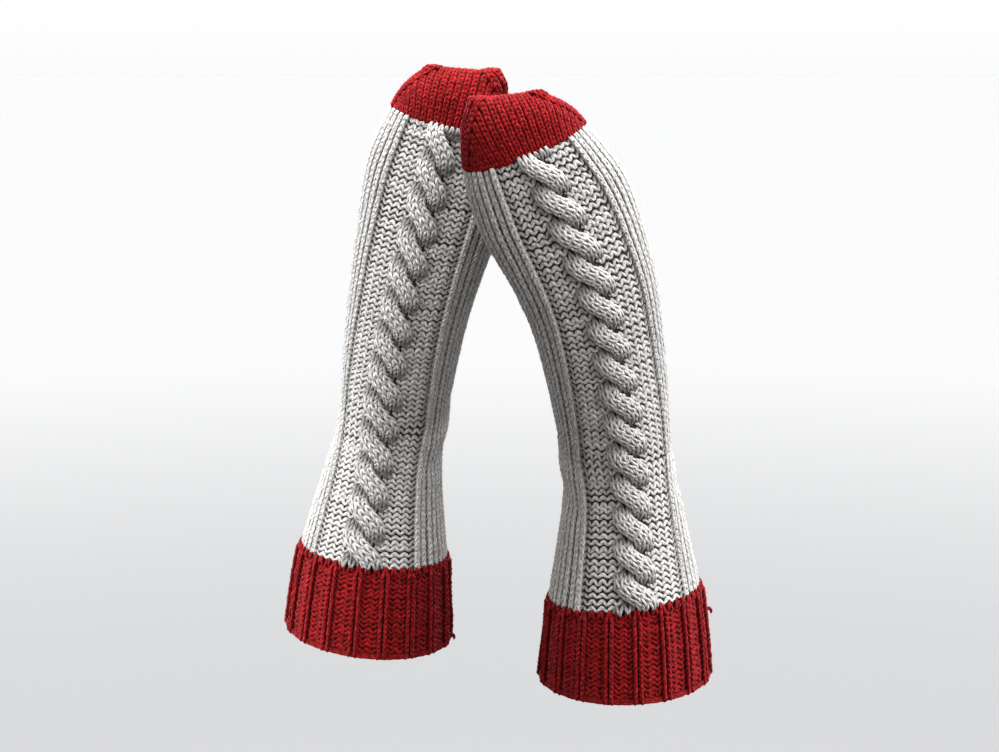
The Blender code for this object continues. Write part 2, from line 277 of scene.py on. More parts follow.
# Soft creases and swellings of each sock's worn cloth, each along a line between two places:
# row and share of one end, row and share of the other, rise and reach. Rows are the form's,
# up from the cuff's edge, and shares go round from the instep's middle to the right. The rise
# is outward and the reach is half the fold's width, both in millimetres.
CREASES = {
    "left": (
        (4.4, 0.15, 5.6, 0.30, -1.5, 5.0),
        (5.4, 0.12, 6.9, 0.33, 1.1, 5.0),
        (7.2, 0.20, 8.2, 0.36, -1.3, 5.0),
        (4.9, -0.14, 5.9, -0.33, -1.2, 5.0),
        (6.6, -0.18, 7.8, -0.34, -1.0, 4.5),
        (2.3, 0.32, 3.6, 0.46, -1.3, 6.0),
        (9.0, 0.38, 10.2, -0.45, 1.2, 6.0),
        (11.1, 0.22, 12.0, 0.34, -1.0, 6.0),
        (0.7, 0.27, 2.0, 0.24, -1.4, 8.0),
        (0.2, -0.40, 2.0, -0.37, -1.6, 9.0),
        (16.4, -0.21, 17.6, -0.20, 1.8, 4.0),
        (15.6, 0.24, 17.8, 0.23, 3.2, 7.0),
        (16.5, 0.29, 17.6, 0.30, 1.8, 4.0),
    ),
    "right": (
        (4.2, -0.13, 5.5, -0.30, -1.5, 5.0),
        (5.5, -0.13, 6.7, -0.34, 1.1, 5.0),
        (7.0, -0.20, 8.3, -0.36, -1.3, 5.0),
        (4.6, 0.15, 5.8, 0.32, -1.2, 5.0),
        (6.4, 0.18, 7.6, 0.35, -1.1, 4.5),
        (2.5, -0.30, 3.8, -0.45, -1.3, 6.0),
        (9.2, -0.38, 10.4, 0.44, 1.2, 6.0),
        (11.0, -0.24, 12.1, -0.33, -1.0, 6.0),
        (0.5, -0.29, 2.0, -0.26, -1.4, 8.0),
        (0.3, 0.38, 2.0, 0.41, -1.6, 9.0),
        (16.4, 0.21, 17.6, 0.20, 2.0, 4.0),
        (16.4, -0.22, 17.6, -0.21, 1.4, 5.0),
        (16.5, -0.30, 17.6, -0.30, 1.8, 4.0),
    ),
}

# How a crease fades towards its ends
CREASE_INSET = 0.05
CREASE_TAPER = 0.7

# Ends of yarn at the cuffs: rows of the form's table and share of the way round
YARN_ENDS = {"left": (0.25, 0.235), "right": (1.35, 0.24)}
YARN_END_REACH = 5.0 * MM
YARN_END_DROP = 4.0 * MM
YARN_END_SINK = 1.5 * MM
YARN_END_BEND = 1.9
YARN_END_THICK = (1.0, 1.1, 1.15, 1.1, 1.0, 0.85, 0.5)

# Fineness of the form's grid and of the cloth
GRID_ROWS = 541
GRID_COLUMNS = 288
LOOP_SAMPLES = 721
BODY_CLOTH_ROWS = 141
CABLE_CLOTH_COLUMNS = 19
PANEL_CLOTH_COLUMNS = 5
PLAIN_CLOTH_COLUMNS = 49
CUFF_CLOTH_ROWS = 25
RIB_CLOTH_COLUMNS = 6
RIB_CLOTH_HALF = 0.2
TOE_CLOTH_ROWS = 27
TOE_CLOTH_COLUMNS = 64

# Camera and light. A sun has the way to it, its strength, its spread in degrees and the
# beginnings of the names of what it lights.
CAMERA_TARGET = (0.0, 0.0, 0.194)
CAMERA_DISTANCE = 1.30
CAMERA_ELEVATION = 8.5
CAMERA_LENS = 73.2
CAMERA_SENSOR = 36.0
CAMERA_NEAR = 0.05
SUNS = (
    ("left_window", (-0.97, -0.25, 0.50), 4.8, 80.0, ("left", "floor")),
    ("right_window", (0.97, -0.27, 0.50), 4.8, 80.0, ("right", "floor")),
    ("front_fill", (0.45, -0.85, 0.30), 0.55, 90.0, ("left",)),
)
ROOF_LAMP_PLACE = (0.0, -0.12, 1.00)
ROOF_LAMP_AIM = (0.0, 0.0, 0.19)
ROOF_LAMP_SIZE = 0.45
ROOF_LAMP_POWER = 12.0
SUN_COLOUR = (0.975, 0.988, 1.0)
WHITE = (1.0, 1.0, 1.0, 1.0)
SKY_LOW = (0.015, 0.015, 0.017, 1.0)
SKY_HORIZON = (0.96, 0.965, 0.97, 1.0)
SKY_BAND = (1.0, 0.97, 0.93, 1.0)
SKY_HIGH = (0.46, 0.455, 0.45, 1.0)
SKY_STOPS = (
    (0.474, SKY_LOW),
    (0.482, SKY_HORIZON),
    (0.500, SKY_HORIZON),
    (0.514, WHITE),
    (0.535, WHITE),
    (0.570, SKY_BAND),
    (1.000, SKY_HIGH),
)
FLOOR_LEVEL = -0.35
FLOOR_RADIUS = 400.0
FLOOR_STEPS = 64
# The floor's colour fades from near to far: a painted shade darkens it under the socks
FLOOR_FADE = (0.3, 4.2)
FLOOR_NEAR_SHADE = (0.290, 0.292, 0.297, 1.0)
FLOOR_FAR = (0.474, 0.475, 0.480, 1.0)

# Colours of the yarn's flecks, from dark to light, and of the cloth in its gaps, whose
# near-black colours are painted shade between the stitches and on the inside
GREY_YARN = ((0.40, 0.377, 0.352, 1.0), (0.57, 0.556, 0.542, 1.0), (0.73, 0.732, 0.748, 1.0))
RED_YARN = ((0.10, 0.002, 0.002, 1.0), (0.23, 0.005, 0.005, 1.0), (0.38, 0.010, 0.013, 1.0))
# Painted shade: under the plain knit and inside, darker under the purl panels and cable, and red
# under the cuff and toe
GREY_CLOTH_SHADE = (0.075, 0.064, 0.054, 1.0)
GREY_GAP_SHADE = (0.042, 0.034, 0.027, 1.0)
RED_CLOTH_SHADE = (0.035, 0.0008, 0.0015, 1.0)
RED_SHEEN = (1.0, 0.34, 0.46, 1.0)

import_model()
chance = np.random.default_rng(7)


def running(steps):
    """The running total of steps along their first axis, from nought."""
    return np.concatenate([np.zeros_like(steps[:1]), np.cumsum(steps, axis=0)])


def step_lengths(points, axis):
    """The lengths between neighbouring points along an axis."""
    return np.linalg.norm(np.diff(points, axis=axis), axis=-1)


def wrapped(share):
    """A share of the way round as one from -0.5 to 0.5."""
    return (share + 0.5) % 1.0 - 0.5


def monotone_slopes(values):
    """Slopes for a smooth curve through evenly spaced values that never overshoots."""
    steps = np.diff(values)
    slopes = np.empty(len(values))
    slopes[0] = steps[0]
    slopes[-1] = steps[-1]
    before = steps[:-1]
    after = steps[1:]
    total = before + after
    safe = np.where(np.abs(total) > TINY, total, 1.0)
    slopes[1:-1] = np.where(before * after > 0, 2 * before * after / safe, 0.0)
    return slopes


def smooth_rows(table, place):
    """A table's rows, smoothly in between, at places counted in rows."""
    place = np.clip(np.atleast_1d(np.asarray(place, float)), 0.0, len(table) - 1.0)
    low = np.clip(place.astype(int), 0, len(table) - 2)
    f = (place - low)[:, None]
    slopes = np.stack([monotone_slopes(column) for column in table.T], axis=1)
    rise = 3 * f**2 - 2 * f**3
    start_pull = f**3 - 2 * f**2 + f
    end_pull = f**3 - f**2
    mixed = table[low] * (1 - rise) + table[low + 1] * rise
    return mixed + slopes[low] * start_pull + slopes[low + 1] * end_pull


def loop_points(section, shares):
    """Points of one section's loop at shares of its way round, from the instep's middle."""
    front, front_up, back, back_up, half_width, square = section
    angle = np.linspace(0.0, math.pi, LOOP_SAMPLES)
    power = 2.0 / square
    across = half_width * np.abs(np.sin(angle)) ** power
    along = np.sign(np.cos(angle)) * np.abs(np.cos(angle)) ** power
    depth = 0.5 * math.hypot(front + back, back_up - front_up)
    run = running(np.hypot(np.diff(across), np.diff(along * depth)))
    wanted = np.abs(shares) * 2.0 * run[-1]
    x = np.interp(wanted, run, across) * np.sign(shares)
    side = np.interp(wanted, run, along)
    y = 0.5 * (back - front) - side * 0.5 * (front + back)
    z = 0.5 * (front_up + back_up) + side * 0.5 * (front_up - back_up)
    return np.stack([x, y, z], axis=1) * MM


def stand(points, side):
    """Turns, tilts and places points of the form as one sock of the pair stands."""
    turn = math.radians(SOCKS[side]["turn"])
    x = points[:, 0] * math.cos(turn) - points[:, 1] * math.sin(turn)
    y = points[:, 0] * math.sin(turn) + points[:, 1] * math.cos(turn)
    table = np.array(STANCES)
    stance = smooth_rows(table, points[:, 2] / MM / (table[1, 0] - table[0, 0]))
    across = stance[:, STANCE_COLUMNS.index(f"{side}_across")] * MM
    tilt = np.radians(stance[:, STANCE_COLUMNS.index(f"{side}_tilt")])
    place_x, place_y, place_z = SOCKS[side]["place"]
    world_x = place_x * MM + across + x * np.cos(tilt)
    world_z = place_z * MM + points[:, 2] - x * np.sin(tilt)
    return np.stack([world_x, place_y * MM + y, world_z], axis=1)


def unit(vectors):
    """The vectors at length one."""
    length = np.linalg.norm(vectors, axis=-1, keepdims=True)
    return vectors / np.maximum(length, TINY)


class Form:
    """The plain outer face of one sock as a fine grid, read anywhere in between."""

    def __init__(self, side):
        self.side = side
        self.last = len(SECTIONS) - 1.0
        self.t = np.linspace(0.0, self.last, GRID_ROWS)
        self.shares = np.linspace(-0.5, 0.5, GRID_COLUMNS + 1)
        table = smooth_rows(np.array([row[1:] for row in SECTIONS]), self.t)
        self.points = np.array([stand(loop_points(row, self.shares), side) for row in table])
        self.face_ways()
        self.points = self.points + self.out * self.creases()[:, :, None]
        self.face_ways()
        self.girth = step_lengths(self.points, 1).sum(axis=1)
        self.run = running(step_lengths(self.points, 0))
        self.instep_run = running(step_lengths(table[:, :2], 0) * MM)

    def face_ways(self):
        """Works out the ways across, out of and up the face at each point of the grid."""
        round_ends = [self.points[:, -2:-1], self.points, self.points[:, 1:2]]
        loops = np.concatenate(round_ends, axis=1)
        self.across = unit(loops[:, 2:] - loops[:, :-2])
        up = np.gradient(self.points, axis=0)
        self.out = unit(np.cross(self.across, up))
        self.up = np.cross(self.out, self.across)

    def creases(self):
        """How far the soft creases move each point of the grid outward."""
        run = running(step_lengths(self.points, 0).mean(axis=1))
        girth = step_lengths(self.points, 1).sum(axis=1)[:, None]
        moved = np.zeros(self.points.shape[:2])
        for from_row, from_share, to_row, to_share, rise, reach in CREASES[self.side]:
            start, end = np.interp([from_row, to_row], self.t, run)
            x = wrapped(self.shares[None, :] - from_share) * girth
            y = (run - start)[:, None]
            line_x = wrapped(to_share - from_share) * girth
            line_y = end - start
            along = (x * line_x + y * line_y) / (line_x**2 + line_y**2)
            held = np.clip(along, 0.0, 1.0)
            away = np.hypot(x - held * line_x, y - held * line_y)
            inset = np.clip(along * (1.0 - 2 * CREASE_INSET) + CREASE_INSET, 0.0, 1.0)
            taper = np.sin(math.pi * inset) ** CREASE_TAPER
            moved += rise * MM * taper * np.exp(-((away / (reach * MM)) ** 2))
        return moved

    def read(self, grid, t, share):
        """One of the grids at places given by t and share."""
        row = np.clip(t / self.last, 0.0, 1.0) * (GRID_ROWS - 1)
        column = ((share + 0.5) % 1.0) * GRID_COLUMNS
        i = np.clip(row.astype(int), 0, GRID_ROWS - 2)
        j = np.clip(column.astype(int), 0, GRID_COLUMNS - 1)
        a = (row - i)[..., None]
        b = (column - j)[..., None]
        near = grid[i, j] * (1 - b) + grid[i, j + 1] * b
        far = grid[i + 1, j] * (1 - b) + grid[i + 1, j + 1] * b
        return near * (1 - a) + far * a

    def place(self, t, share, height, right=0.0, up=0.0):
        """Points over the form, and the ways out there, with moves along the cloth."""
        t, share, height, right, up = np.broadcast_arrays(t, share, height, right, up)
        out = unit(self.read(self.out, t, share))
        points = self.read(self.points, t, share) + out * height[..., None]
        points = points + self.read(self.across, t, share) * right[..., None]
        points = points + self.read(self.up, t, share) * up[..., None]
        return points, out

    def girth_at(self, t):
        """The way round at t."""
        return np.interp(t, self.t, self.girth)

    def column_knots(self, share, t_from, t_to, rows):
        """t at even lengths along one column, from t_from down to t_to."""
        column = int(round(((share + 0.5) % 1.0) * GRID_COLUMNS))
        run = self.run[:, column]
        start, end = np.interp([t_from, t_to], self.t, run)
        return np.interp(np.linspace(start, end, rows + 1), run, self.t)

    def instep_knots(self, t_from, t_to, rows):
        """t at even lengths down the instep's middle."""
        start, end = np.interp([t_from, t_to], self.t, self.instep_run)
        return np.interp(np.linspace(start, end, rows + 1), self.instep_run, self.t)


def between_knots(knots, down):
    """t at places counted in rows down from the first knot, a little past the ends too."""
    before = 2 * knots[0] - knots[1]
    after = 2 * knots[-1] - knots[-2]
    further = 2 * after - knots[-1]
    full = np.concatenate([[before], knots, [after, further]])
    return np.interp(down, np.arange(-1, len(knots) + 2), full)


class Yarn:
    """Collects tubes of yarn and makes one mesh of them."""

    def __init__(self):
        self.points = []
        self.faces = []
        self.uvs = []
        self.deeps = []
        self.tops = []
        self.ways = []
        self.count = 0

    def add(self, centres, out, thick, deep=0.0):
        """Adds one tube for each row of centres. out is the way out, thick the radii, and
        deep the share by which the yarn lies in the shade of what is next to it."""
        tubes, steps = centres.shape[:2]
        thick = np.broadcast_to(thick, centres.shape[:2])
        along = unit(np.gradient(centres, axis=1))
        beside = unit(np.cross(along, out))
        outward = np.cross(beside, along)
        angles = np.linspace(TUBE_START, TUBE_END, TUBE_SIDES + 1)
        ring = (
            np.cos(angles)[:, None] * beside[:, :, None, :]
            + np.sin(angles)[:, None] * outward[:, :, None, :]
        )
        points = centres[:, :, None, :] + ring * thick[:, :, None, None]
        run = running(step_lengths(centres, 1).T).T
        run = run + chance.uniform(0.0, FLECK_SHIFT, (tubes, 1))
        u = np.broadcast_to(run[:, :, None], points.shape[:3])
        v = np.broadcast_to(angles / (2 * math.pi), points.shape[:3])
        sides = TUBE_SIDES + 1
        index = self.count + np.arange(tubes * steps * sides).reshape(tubes, steps, sides)
        quads = np.stack(
            [index[:, :-1, :-1], index[:, :-1, 1:], index[:, 1:, 1:], index[:, 1:, :-1]], axis=-1
        )
        self.tops.append(points[:, 1:-1, sides // 2].reshape(-1, 3))
        self.ways.append(outward[:, 1:-1].reshape(-1, 3))
        self.points.append(points.reshape(-1, 3))
        deep = np.broadcast_to(deep, centres.shape[:2])
        self.deeps.append(np.repeat(deep.ravel(), sides))
        self.uvs.append(np.stack([u, v], axis=-1).reshape(-1, 2))
        self.faces.append(quads.reshape(-1, 4))
        self.count += points.shape[0] * steps * sides

    def add_hairs(self, hairs):
        """Adds loose hairs of wool, each a thin curved strip that starts on the yarn."""
        tops = np.concatenate(self.tops)
        ways = np.concatenate(self.ways)
        chosen = chance.integers(0, len(tops), hairs)
        way = unit(ways[chosen] + HAIR_SPREAD * unit(chance.normal(size=(hairs, 3))))
        aside = unit(np.cross(way, chance.normal(size=(hairs, 3))))
        length = chance.uniform(*HAIR_LENGTH, (hairs, 1))
        bend = unit(np.cross(aside, way)) * chance.uniform(*HAIR_BEND, (hairs, 1))
        points = []
        for along, width in HAIR_POINTS:
            risen = along - HAIR_CURL * along**2
            middle = tops[chosen] + length * (way * risen + bend * along**2)
            points.append(middle - aside * width * HAIR_RADIUS)
            points.append(middle + aside * width * HAIR_RADIUS)
        points = np.stack(points, axis=1)
        corners = 2 * len(HAIR_POINTS)
        index = self.count + np.arange(hairs * corners).reshape(hairs, corners)
        for low in range(0, corners - 2, 2):
            self.faces.append(index[:, [low, low + 1, low + 3, low + 2]])
        self.points.append(points.reshape(-1, 3))
        self.deeps.append(np.zeros(hairs * corners))
        places = chance.uniform(0.0, 1.0, (hairs, 2)) * HAIR_UV_SIZE + HAIR_UV_START
        self.uvs.append(np.repeat(places, corners, axis=0))
        self.count += hairs * corners

    def make(self, side, part, material):
        """Adds the hairs and makes the mesh object of one part of a sock."""
        self.add_hairs(HAIRS[part])
        whole = [np.concatenate(part) for part in (self.points, self.faces, self.uvs)]
        made = mesh_object(f"{side}_{part}_yarn", *whole, material)
        # The deep attribute carries the painted shade of yarn that lies in the shade of what is
        # next to it
        layer = made.data.attributes.new("deep", "FLOAT", "POINT")
        layer.data.foreach_set("value", np.concatenate(self.deeps).astype(np.float32))
        return made


def mesh_object(name, points, faces, uvs, material):
    """A smooth mesh object of quads, with a UV for each point."""
    mesh = bpy.data.meshes.new(name)
    mesh.vertices.add(len(points))
    mesh.vertices.foreach_set("co", points.astype(np.float32).ravel())
    corners = faces.shape[1]
    mesh.loops.add(faces.size)
    mesh.loops.foreach_set("vertex_index", faces.astype(np.int32).ravel())
    mesh.polygons.add(len(faces))
    mesh.polygons.foreach_set("loop_start", np.arange(0, faces.size, corners, dtype=np.int32))
    mesh.update(calc_edges=True)
    mesh.validate()
    layer = mesh.uv_layers.new(name="UVMap")
    layer.data.foreach_set("uv", uvs[faces.ravel()].astype(np.float32).ravel())
    mesh.shade_smooth()
    mesh.materials.append(material)
    made = bpy.data.objects.new(name, mesh)
    bpy.context.scene.collection.objects.link(made)
    return made


def leg_columns(shape):
    """A leg's places across and down, its heights and its thicknesses, each as one row."""
    return np.array(shape).T[:, None, :]


def wobble(rows, amount):
    """One small uneven share for each row, as hand knitting has."""
    return chance.normal(0.0, amount, (rows, 1))


def knit_column(yarn, form, middle, width, knots, lift, scale=1.0, shape=LEG):
    """Lays one wale of knit stitches. middle and width are shares of the way round, either
    one number or a function of t."""
    rows = len(knots) - 1
    leg_across, leg_down, leg_height, leg_thick = leg_columns(shape)
    row = np.arange(rows)[:, None]
    for hand in (-1.0, 1.0):
        across = hand * leg_across + wobble(rows, KNIT_UNEVEN["across"])
        t = between_knots(knots, row + leg_down + wobble(rows, KNIT_UNEVEN["down"]))
        share = read_of(middle, t) + across * read_of(width, t)
        bump = leg_height + wobble(rows, KNIT_UNEVEN["height"])
        centres, out = form.place(t, share, lift + YARN * scale * bump)
        uneven = 1.0 + wobble(rows, KNIT_UNEVEN["thick"])
        yarn.add(centres, out, YARN * scale * leg_thick * uneven)


def read_of(value, t):
    """A number as it is, or a function of t read at t."""
    return value(t) if callable(value) else value


def purl_columns(yarn, form, first, width, columns, knots, lift, scale=1.0, tuck=0.0):
    """Lays rows of purl waves across a few columns. first is the share of the first edge.
    tuck is how many columns the waves go on past it, or past the last edge if positive, up
    to a raised wale."""
    rows = len(knots) - 1
    steps = int(round((columns + abs(tuck)) * WAVE_STEPS)) + 1
    place = np.linspace(min(tuck, 0.0), columns + max(tuck, 0.0), steps)[None, :]
    tucked = np.clip(-place, 0.0, None) + np.clip(place - columns, 0.0, None)
    row = np.arange(rows)[:, None]
    hump = 0.5 - 0.5 * np.cos(2 * math.pi * place)
    wave = -np.cos(2 * math.pi * (place - WAVE_SLANT))
    swing = WAVE_SWING * wave * (1.0 + wobble(rows, PURL_UNEVEN["swing"]))
    down = row + 0.5 + swing + wobble(rows, PURL_UNEVEN["down"])
    t = between_knots(knots, down)
    share = first + place * width
    level = WAVE_DEEP + (WAVE_HIGH - WAVE_DEEP) * hump + WAVE_TUCK_RISE * tucked
    height = lift + YARN * scale * (level + wobble(rows, PURL_UNEVEN["height"]))
    centres, out = form.place(t, share, height)
    thick = WAVE_THICK + (WAVE_THIN - WAVE_THICK) * hump
    deep = 0.0
    if tuck:
        border = 0.0 if tuck < 0 else columns
        near = np.exp(-(((place - border) / WAVE_TUCK_REACH) ** 2))
        thick = thick - WAVE_NARROWED * near
        # Painted shade on the waves' ends beside the raised wale
        deep = WAVE_SHADE * near
    uneven = 1.0 + wobble(rows, PURL_UNEVEN["thick"])
    yarn.add(centres, out, YARN * scale * thick * uneven, deep)


def sharper(value):
    """A sine or cosine made steeper through nought."""
    return value * (1.0 + CABLE_SHARPNESS * (1.0 - value**2))


def cable(yarn, form, knots):
    """Lays the cable's two strands, three wales each, crossing over each other."""
    sock = SOCKS[form.side]
    pitch_rows = sock["crossing_rows"]
    rows = len(knots) - 1
    row_length = np.ptp(np.interp(knots[[0, -1]], form.t, form.instep_run)) / rows
    leg_across, leg_down, leg_height, leg_thick = leg_columns(CABLE_LEG)
    half_row = 0.5 * math.pi / pitch_rows
    for strand in (0, 1):
        phase_rows = math.pi * (np.arange(rows) / pitch_rows + strand)
        shown = np.arange(rows)[np.sin(phase_rows + half_row) > CABLE_HIDDEN]
        row = shown[:, None]
        passed = np.floor(phase_rows[shown] / (2 * math.pi) + 0.25)[:, None]
        for column in STRAND_COLUMNS:
            for hand in (-1.0, 1.0):
                down = row + leg_down + wobble(len(shown), CABLE_UNEVEN["down"])
                phase = math.pi * (down / pitch_rows + strand - 2 * passed)
                phase = np.clip(phase, -0.5 * math.pi, 1.5 * math.pi)
                t = between_knots(knots, down)
                half = 0.5 * CABLE_SHARE * form.girth_at(t)
                width = 2 * CABLE_STRAND * half / len(STRAND_COLUMNS)
                front = np.clip(phase, 0.0, math.pi)
                turn = np.cos(front)
                steep = 1.0 + CABLE_SHARPNESS * (1.0 - 3.0 * turn**2)
                swing = CABLE_SWING * half * math.pi * np.sin(front) * steep
                lean = np.arctan(swing / pitch_rows / row_length)
                x = (column + hand * leg_across) * width
                bend = x / STRAND_RADIUS
                side = STRAND_RADIUS * np.sin(bend)
                sink = STRAND_RADIUS * (1.0 - np.cos(bend))
                level = sharper(np.sin(phase))
                rise = np.where(level > 0, CABLE_RISE, CABLE_DIVE) * level
                top = CABLE_BASE + rise + CABLE_ARCH - CABLE_TUCK * YARN
                bump = leg_height + wobble(len(shown), CABLE_UNEVEN["height"])
                height = np.maximum(top - sink + YARN * CABLE_YARN * bump, CABLE_DEEPEST)
                share = -0.5 * CABLE_SHARE * CABLE_SWING * sharper(turn)
                centres, out = form.place(
                    t, share, height, right=side * np.cos(lean), up=side * np.sin(lean)
                )
                sideways = unit(form.read(form.across, t, share))
                tilted = unit(out * np.cos(bend)[..., None] + sideways * np.sin(bend)[..., None])
                uneven = 1.0 + wobble(len(shown), CABLE_UNEVEN["thick"])
                # Painted shade where the strand dives under the other
                deep = CABLE_SHADE * np.clip((SHADE_FROM - level) / SHADE_RAMP, 0.0, 1.0)
                yarn.add(centres, tilted, YARN * CABLE_YARN * leg_thick * uneven, deep)


def cable_height(across, turns):
    """How far the cable's two strands stand out of the purl ground."""
    height = np.zeros(np.broadcast(across, turns).shape)
    for strand in (0, 1):
        phase = math.pi * (turns + strand)
        middle = -CABLE_SWING * sharper(np.cos(phase))
        level = CABLE_BASE + CABLE_RISE * sharper(np.sin(phase))
        inside = np.clip(1.0 - ((across - middle) / CABLE_STRAND) ** 2, 0.0, None)
        edge = np.clip(inside * CABLE_FLANK, 0.0, 1.0)
        height = np.maximum(height, edge * (level + CABLE_ARCH * np.sqrt(inside)))
    return height


def cloth_object(part, form, t_rows, shares, relief, material, closed_top=False, deep=None):
    """The thin cloth under the yarn: an outer face below the yarn, an inner face and rims. deep
    is a second, darker painted-shade material and the share from the instep's middle up to which
    it is used."""
    t = t_rows[:, None]
    share = shares[None, :]
    outer, _ = form.place(t, share, relief - CLOTH_DEPTH)
    inner, _ = form.place(t, share, -WALL)
    rows, columns = outer.shape[:2]
    index = np.arange(rows * columns).reshape(rows, columns)
    after = np.roll(index, -1, axis=1)
    total = rows * columns
    band = np.stack([index[:-1], after[:-1], after[1:], index[1:]], axis=-1).reshape(-1, 4)
    bottom = np.stack([after[0], index[0], index[0] + total, after[0] + total], axis=-1)
    faces = [band, band[:, ::-1] + total, bottom]
    last = index[-1]
    if closed_top:
        front = np.arange(columns // 4, 3 * columns // 4 - 1)
        back = columns // 2 - 1 - front
        closing = np.stack([last[front], last[front + 1], last[back - 1], last[back]], axis=-1)
        faces += [closing, closing[:, ::-1] + total]
    else:
        faces.append(np.stack([last, after[-1], after[-1] + total, last + total], axis=-1))
    points = np.concatenate([outer.reshape(-1, 3), inner.reshape(-1, 3)])
    run = np.broadcast_to(form.read(form.run[..., None], t, share)[..., 0], (rows, columns))
    round_way = np.broadcast_to(share * form.girth_at(t), (rows, columns))
    uvs = np.stack([round_way, run], axis=-1).reshape(-1, 2)
    name = f"{form.side}_{part}_cloth"
    made = mesh_object(name, points, np.concatenate(faces), np.tile(uvs, (2, 1)), material)
    if deep is not None:
        deep_material, deep_share = deep
        made.data.materials.append(deep_material)
        middles = shares + 0.5 * wrapped(np.roll(shares, -1) - shares)
        inside = (np.abs(middles) < deep_share).astype(np.int32)
        indexes = np.zeros(len(made.data.polygons), dtype=np.int32)
        indexes[:len(band)] = np.tile(inside, rows - 1)
        made.data.polygons.foreach_set("material_index", indexes)
    return made


def plain_shares(count):
    """Even shares of the way round."""
    return np.linspace(-0.5, 0.5, count, endpoint=False)


def body_relief(share, turns):
    """The outer face's offset on the leg and foot: sunken purl panels, raised cable."""
    panel_edge = 0.5 * CABLE_SHARE + PURL_SHARE
    across = share / (0.5 * CABLE_SHARE)
    sunk = np.where(np.abs(share) < panel_edge, -PURL_DEPTH, 0.0)
    raised = np.where(np.abs(across) <= CABLE_EDGE, cable_height(across, turns), 0.0)
    return sunk + CABLE_CLOTH_SHARE * raised


def make_body(form, materials):
    """The leg, heel and foot of one sock: cloth, plain wales, purl panels and cable."""
    sock = SOCKS[form.side]
    rows = sock["crossings"] * sock["crossing_rows"]
    top = ROW["toe_start"]
    bottom = ROW["leg_start"]
    heel_low = ROW["heel_start"]
    heel_high = ROW["heel_end"]
    panel_edge = 0.5 * CABLE_SHARE + PURL_SHARE
    front = form.instep_knots(top, bottom, rows)
    front_run = np.interp([top, heel_high, heel_low, bottom], form.t, form.instep_run)
    pitch = (front_run[0] - front_run[3]) / rows
    foot_rows = int(round((front_run[0] - front_run[1]) / pitch))
    leg_rows = int(round((front_run[2] - front_run[3]) / pitch))

    panel = Yarn()
    purl_width = PURL_SHARE / PURL_COLUMNS
    purl_lift = -PURL_DEPTH - PURL_SINK * YARN
    for first, tuck in (
        (-panel_edge, -PURL_TUCK),
        (0.5 * CABLE_SHARE - purl_width, PURL_TUCK),
    ):
        purl_columns(
            panel, form, first, purl_width, PURL_COLUMNS + 1, front, purl_lift, tuck=tuck
        )
    cable(panel, form, front)

    foot = Yarn()
    leg = Yarn()
    width = (1.0 - 2 * panel_edge) / KNIT_COLUMNS
    for column in range(KNIT_COLUMNS):
        share = wrapped(panel_edge + (column + 0.5) * width)
        from_border = min(column, KNIT_COLUMNS - 1 - column)
        inner = (column < KNIT_COLUMNS / 2) == (form.side == "left")
        lift = -KNIT_DEPTH
        if from_border == 0:
            lift += BORDER_RISES["inner" if inner else "outer"]
        if from_border == 1 and inner:
            lift -= BORDER_GROOVE
        foot_knots = form.column_knots(share, top, heel_high, foot_rows)
        place = int(round((share + 0.5) * GRID_COLUMNS))
        heel_run = np.interp([heel_high, heel_low], form.t, form.run[:, place])
        half_rows = max(1, int(round((heel_run[0] - heel_run[1]) / pitch / 2)))
        heel_knots = form.column_knots(share, heel_high, heel_low, 2 * half_rows)
        leg_knots = form.column_knots(share, heel_low, bottom, leg_rows)
        leg_knots = np.concatenate([heel_knots, leg_knots[1:]])
        knit_column(foot, form, share, width, foot_knots, lift)
        knit_column(leg, form, share, width, leg_knots, lift)

    cable_shares = np.linspace(-0.5, 0.5, CABLE_CLOTH_COLUMNS) * CABLE_SHARE
    plain = np.linspace(panel_edge, 1.0 - panel_edge, PLAIN_CLOTH_COLUMNS)
    panels = np.linspace(0.5 * CABLE_SHARE, panel_edge, PANEL_CLOTH_COLUMNS)[1:-1]
    shares = wrapped(np.concatenate([cable_shares, panels, plain, 1.0 - panels[::-1]]))
    t_rows = np.linspace(bottom, top, BODY_CLOTH_ROWS)
    run = np.interp(t_rows, form.t, form.instep_run)
    turns = (front_run[0] - run) / (front_run[0] - front_run[3]) * sock["crossings"]
    relief = body_relief(shares[None, :], turns[:, None])
    # The cloth's colours are painted shade, near black, and darker still within the purl panels
    # and cable
    cloth = cloth_object(
        "leg_foot", form, t_rows, shares, relief, materials["grey_shade_cloth"],
        deep=(materials["grey_shade_gaps"], panel_edge),
    )
    parts = (("panel", panel), ("foot", foot), ("leg", leg))
    return cloth, [yarn.make(form.side, part, materials["grey"]) for part, yarn in parts]


